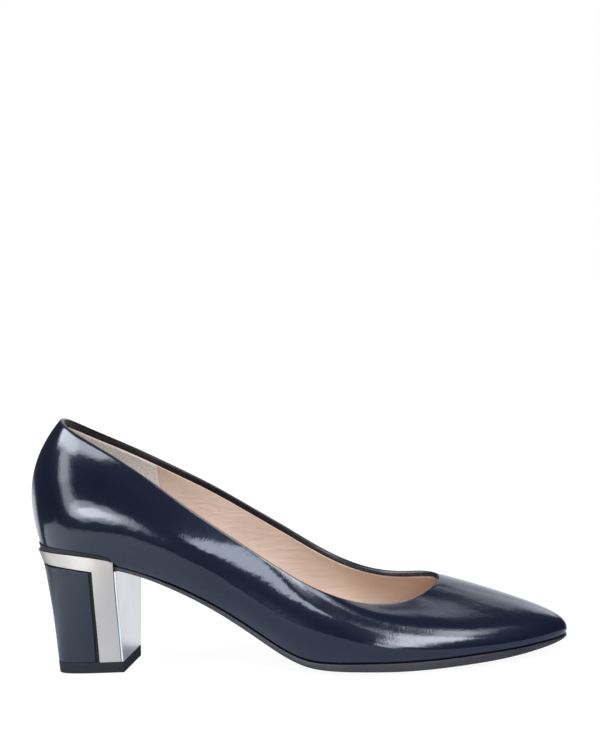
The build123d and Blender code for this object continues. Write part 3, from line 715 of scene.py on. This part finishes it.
def heel_loop(z, inset, count=160, corner=0.3):
    """A whole outline of the heel at height z, from the middle of its back."""
    quarter = count // 2 - 12
    angle = np.linspace(0, 1, quarter) * heel_angle(heel_breast(z) - corner, z)
    rear = heel_point(-angle, np.full(quarter, float(z)), inset)
    half, lean = heel_breadth(z, 1.0, inset), heel_lean(z)
    breast = heel_breast(z) - inset
    turn = np.linspace(0, np.pi / 2, 6)[1:]
    round_x = breast - corner + corner * np.sin(turn)
    round_y = half - corner + corner * np.cos(turn)
    flat_y = np.linspace(half - corner, 0, 9)[1:]
    half_plan = [rear[:, :2] - (0, lean), np.stack([round_x, -round_y], -1),
                 np.stack([np.full(8, breast), -flat_y], -1)]
    plan = np.concatenate(half_plan)
    plan = np.concatenate([plan, (plan[1:-1] * (1, -1))[::-1]])
    return np.concatenate([plan + (0, lean), np.full((len(plan), 1), z)], -1)


def top_lift_piece(material):
    """The rubber block the shoe stands on, its edges slightly rounded."""
    loops, low, high = [], 0.2, 0.1
    for a in np.linspace(0, np.pi / 2, 4):
        loops.append(heel_loop(low * (1 - math.cos(a)), low * (1 - math.sin(a))))
    loops += [heel_loop(z, 0.0) for z in (1.2, 2.5, 4.0)]
    for a in np.linspace(0, np.pi / 2, 4):
        loops.append(heel_loop(TOP_LIFT - high * (1 - math.sin(a)), high * (1 - math.cos(a))))
    points, faces = stacked_loops(loops)
    return make_piece("top_lift_block", points, faces, material, ["top_lift"])


def core_piece(material):
    """The moulded heel inside its skins; it shows in the dark grooves."""
    loops = [heel_loop(z, HEEL_SKIN + GLUE) for z in np.linspace(TOP_LIFT + GLUE, 50.0, 12)]
    top = loops[-1].copy()
    top[:, 2] = tread_z(top[:, 0], top[:, 1]) - 0.1
    points, faces = stacked_loops(loops + [top])
    return make_piece("heel_block", points, faces, material, ["heel_core"])


def rand_piece(material):
    """The soft black cord that fills the joint between upper and rim."""
    u = np.linspace(-RAND_END, RAND_END, 220)
    fade = np.clip((RAND_END - np.abs(u)) / 0.006, 0, 1)**0.5
    v, depth = layer_profile(u, np.full_like(u, 0.002), 0.010 + 0.062 * fade, -0.55, -0.03,
                             0.35, 0.0, 14)
    points = wall(u[:, None] + 0 * v, v, depth)
    return make_piece("seat_rand", points, swept_loop(points, False), material,
                      ["heel_seat_rand"])


# ---- stage, camera, lights --------------------------------------------------------
def make_camera():
    """A long lens seen from the lateral side, a little in front and above, tilted."""
    azimuth, elevation, roll, distance = (math.radians(9.5), math.radians(10.0),
                                          math.radians(4.2), 0.815)
    target = Vector((0.003, 0.0, 0.0531))
    back = Vector((math.sin(azimuth) * math.cos(elevation),
                   -math.cos(azimuth) * math.cos(elevation), math.sin(elevation)))
    right = Vector((math.cos(azimuth), math.sin(azimuth), 0.0))
    up = back.cross(right)
    turned_right = right * math.cos(roll) - up * math.sin(roll)
    turned_up = right * math.sin(roll) + up * math.cos(roll)
    data = bpy.data.cameras.new("camera")
    data.lens, data.sensor_width, data.shift_y = 85.0, 36.0, 0.228
    camera = bpy.data.objects.new("camera", data)
    axes = Matrix((turned_right, turned_up, back)).transposed().to_4x4()
    camera.matrix_world = Matrix.Translation(target + back * distance) @ axes
    bpy.context.collection.objects.link(camera)
    bpy.context.scene.camera = camera


def soft_box(name, place, aim, size, power, shape="RECTANGLE", roll=0.0, color=(1, 1, 1)):
    """A flat lamp at a place, facing another; roll turns it in its own plane."""
    data = bpy.data.lights.new(name, "AREA")
    data.shape, data.size, data.size_y = shape, *size
    data.energy, data.color = power, color
    light = bpy.data.objects.new(name, data)
    light.location = place
    light.rotation_mode = "QUATERNION"
    turn = Quaternion((0, 0, 1), math.radians(roll))
    light.rotation_quaternion = (Vector(aim) - Vector(place)).to_track_quat("-Z", "Y") @ turn
    bpy.context.collection.objects.link(light)
    return light


def direction(azimuth, elevation):
    """Unit vector: azimuth 0 points at the camera's side (-Y), 90 along +X."""
    a, e = math.radians(azimuth), math.radians(elevation)
    return (math.sin(a) * math.cos(e), -math.cos(a) * math.cos(e), math.sin(e))


def floor_plate(name, low, high, height, material):
    """A level rectangle of the stage, in metres."""
    mesh = bpy.data.meshes.new(name)
    corners = [(low[0], low[1]), (high[0], low[1]), (high[0], high[1]), (low[0], high[1])]
    mesh.from_pydata([(x, y, height) for x, y in corners], [], [(0, 1, 2, 3)])
    plate = bpy.data.objects.new(name, mesh)
    bpy.context.collection.objects.link(plate)
    plate.data.materials.append(material)
    return plate


def make_floor():
    """A white lit floor, and the grey table top on it that the shoe's polish reflects; painted
    shade darkens the table top near the shoe.
    """
    material, shader = new_material("floor_paint", (0.12, 0.12, 0.12), 0.9, specular=0.1)
    shader.inputs["Emission Color"].default_value = (1, 1, 1, 1)
    shader.inputs["Emission Strength"].default_value = 0.93
    wide = floor_plate("floor", (-4, -4), (4, 4), -0.0004, material)
    wide.visible_glossy = False
    paper, shader = new_material("table_paper", (0.42, 0.46, 0.56), 0.9, specular=0.1)
    nodes, links = paper.node_tree.nodes, paper.node_tree.links
    axes = nodes.new("ShaderNodeSeparateXYZ")
    links.new(nodes.new("ShaderNodeTexCoord").outputs["Object"], axes.inputs["Vector"])
    # painted shade: the table top is dark under and beside the shoe and turns light behind the heel
    painted_shade_falloff = spread(paper, axes.outputs["X"], 1.0, 0.0, -0.22, -0.06)
    link(paper, color_between(paper, painted_shade_falloff, (0.38, 0.42, 0.52), (0.88, 0.93, 1.0), 0, 1),
         shader, "Base Color")
    table = floor_plate("table_top", (-0.40, -0.15), (0.9, 0.035), -0.0002, paper)
    table.visible_camera = table.visible_diffuse = table.visible_shadow = False


# Studio lights as bands on the sky: from azimuth, elevation to azimuth, elevation,
# half width in degrees, strength.
BANDS = [
    ((-38, -4), (-50, 25), 7.0, 4.6),
    ((-50, 25), (-62, 42), 8.0, 6.0),
    ((-88, 47), (-52, 53), 8.0, 12.0),
    ((-52, 54), (-18, 57), 6.0, 9.0),
    ((22, 48), (62, 61), 4.0, 2.2),
    ((6, -3), (16, 12), 4.0, 8.0),
    ((16, 12), (31, 40), 6.5, 13.0),
    ((31, 40), (46, 52), 7.0, 14.0),
    ((46, 52), (84, 66), 4.5, 8.0),
    ((84, 66), (100, 66), 3.5, 3.5),
    ((150, 61), (164, 60), 2.6, 1.5),
    ((150, 59), (158, 46), 4.0, 1.7),
    ((158, 46), (160, 26), 6.0, 2.0),
    ((178, 0), (178, 38), 16.0, 1.2),
    ((164, -50), (164, -4), 13.0, 1.05),
    ((-178, -7), (-125, -8), 7.0, 1.5),
]


def make_world():
    """White to the camera; to everything else dim, with bands of studio light."""
    world = bpy.data.worlds.new("studio")
    bpy.context.scene.world = world
    world.use_nodes = True
    nodes, links = world.node_tree.nodes, world.node_tree.links
    nodes.clear()

    def vector_math(operation, a, b=None):
        node = nodes.new("ShaderNodeVectorMath")
        node.operation = operation
        for socket, value in zip(node.inputs, (a, b)):
            if isinstance(value, bpy.types.NodeSocket):
                links.new(value, socket)
            elif value is not None:
                socket.default_value = value
        return node

    def scalar_math(operation, a, b, clamp=False):
        node = nodes.new("ShaderNodeMath")
        node.operation, node.use_clamp = operation, clamp
        for socket, value in zip(node.inputs, (a, b)):
            if isinstance(value, bpy.types.NodeSocket):
                links.new(value, socket)
            else:
                socket.default_value = value
        return node.outputs["Value"]

    sky = nodes.new("ShaderNodeTexCoord").outputs["Generated"]
    total = None
    for start, end, half_width, strength in BANDS:
        a, b = Vector(direction(*start)), Vector(direction(*end))
        along = b - a
        offset = vector_math("SUBTRACT", sky, a).outputs["Vector"]
        reach = vector_math("DOT_PRODUCT", offset, along / along.length_squared).outputs["Value"]
        reach = scalar_math("MINIMUM", scalar_math("MAXIMUM", reach, 0.0), 1.0)
        foot = nodes.new("ShaderNodeVectorMath")
        foot.operation = "SCALE"
        foot.inputs[0].default_value = along
        links.new(reach, foot.inputs["Scale"])
        gap = vector_math("SUBTRACT", offset, foot.outputs["Vector"]).outputs["Vector"]
        far = vector_math("LENGTH", gap).outputs["Value"]
        fade = nodes.new("ShaderNodeMapRange")
        fade.interpolation_type = "SMOOTHSTEP"
        edge = math.radians(half_width)
        for key, value in (("From Min", 0.5 * edge), ("From Max", 1.4 * edge),
                           ("To Min", strength), ("To Max", 0.0)):
            fade.inputs[key].default_value = value
        links.new(far, fade.inputs["Value"])
        band = fade.outputs["Result"]
        total = band if total is None else scalar_math("MAXIMUM", total, band)

    path, mix = nodes.new("ShaderNodeLightPath"), nodes.new("ShaderNodeMixShader")
    lamps, white = nodes.new("ShaderNodeBackground"), nodes.new("ShaderNodeBackground")
    output = nodes.new("ShaderNodeOutputWorld")
    lamps.inputs["Color"].default_value = (0.87, 0.91, 1.0, 1)
    links.new(scalar_math("ADD", total, 0.055), lamps.inputs["Strength"])
    white.inputs["Color"].default_value = (1, 1, 1, 1)
    white.inputs["Strength"].default_value = 1.0
    links.new(path.outputs["Is Camera Ray"], mix.inputs["Fac"])
    links.new(lamps.outputs["Background"], mix.inputs[1])
    links.new(white.outputs["Background"], mix.inputs[2])
    links.new(mix.outputs["Shader"], output.inputs["Surface"])


def make_lights():
    """Fill from above for the inside of the shoe; near lamps that only its polish shows."""
    overhead = soft_box("overhead", (0.05, -0.1, 1.5), (0, 0, 0.05), (1.2, 1.0), 8)
    overhead.visible_glossy = False
    heel, pale = (-0.095, -0.025, 0.07), (0.78, 0.86, 1.0)
    near = [soft_box("waist_strip", (-0.014, -0.12, 0.087), (-0.014, 0, 0.087), (0.098, 0.021),
                     0.045, "ELLIPSE", 27, pale),
            soft_box("heel_box", (-0.248, -0.325, 0.040), heel, (0.16, 0.13), 0.27,
                     "ELLIPSE", -22, pale),
            soft_box("heel_lamp", (-0.240, -0.320, 0.034), heel, (0.085, 0.07), 0.14,
                     "ELLIPSE", -22)]
    for lamp in near:
        lamp.visible_diffuse = lamp.visible_camera = False


def main():
    """Build the pieces, dress the hidden ones and set the studio."""
    make_camera()
    edge = plain_leather("edge_black", (0.001, 0.002, 0.005), (0.002, 0.003, 0.007), 0.28, 0.006,
                         coat=0.2)
    skin = pink_lining()
    suede = suede_nap()
    sole = plain_leather("sole_edge", (0.016, 0.014, 0.018), (0.030, 0.026, 0.031), 0.42)
    panel = plain_leather("slate_panel", (0.004, 0.007, 0.013), (0.006, 0.009, 0.016), 0.36, 0.003,
                          coat=0.1)
    lift = plain_leather("lift_rubber", (0.001, 0.002, 0.004), (0.002, 0.003, 0.005), 0.7)
    plastic = plain_leather("black_plastic", (0.002, 0.002, 0.002), (0.003, 0.003, 0.003), 0.7)
    cord = plain_leather("black_cord", (0.001, 0.001, 0.002), (0.002, 0.002, 0.003), 0.5, 0.004)
    satin = brushed_metal("satin_nickel", (0.55, 0.50, 0.425), 0.45, (1.0, 1.0, 0.03), 0.001)
    bright = brushed_metal("bright_nickel", (0.96, 0.92, 0.86), 0.32, (1.0, 1.0, 0.03), 0.0004)
    upper_piece(glossy_navy())
    lining_piece(skin)
    grip_piece(suede)
    binding_piece(edge)
    outsole_piece(sole)
    sock_piece(skin)
    frame_piece(satin)
    panel_piece(panel)
    breast_piece(bright)
    top_lift_piece(lift)
    core_piece(plastic)
    rand_piece(cord)
    hidden = {
        "topline_tape": skin, "heel_counter": skin, "toe_puff": skin,
        "side_interlining_lateral": skin, "side_interlining_medial": skin,
        "forefoot_filler": skin, "steel_shank": bright, "insole_board": skin,
        "shank_board": skin, "sock_foam": skin, "heel_screw": bright,
        "heel_nails": bright, "shank_rivets": bright, "top_lift_pins": bright,
    }
    for name, material in hidden.items():
        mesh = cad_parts[name].data
        mesh.materials.clear()
        mesh.materials.append(material)
    make_floor()
    make_world()
    make_lights()
    bpy.context.scene.view_settings.view_transform = "Standard"


main()
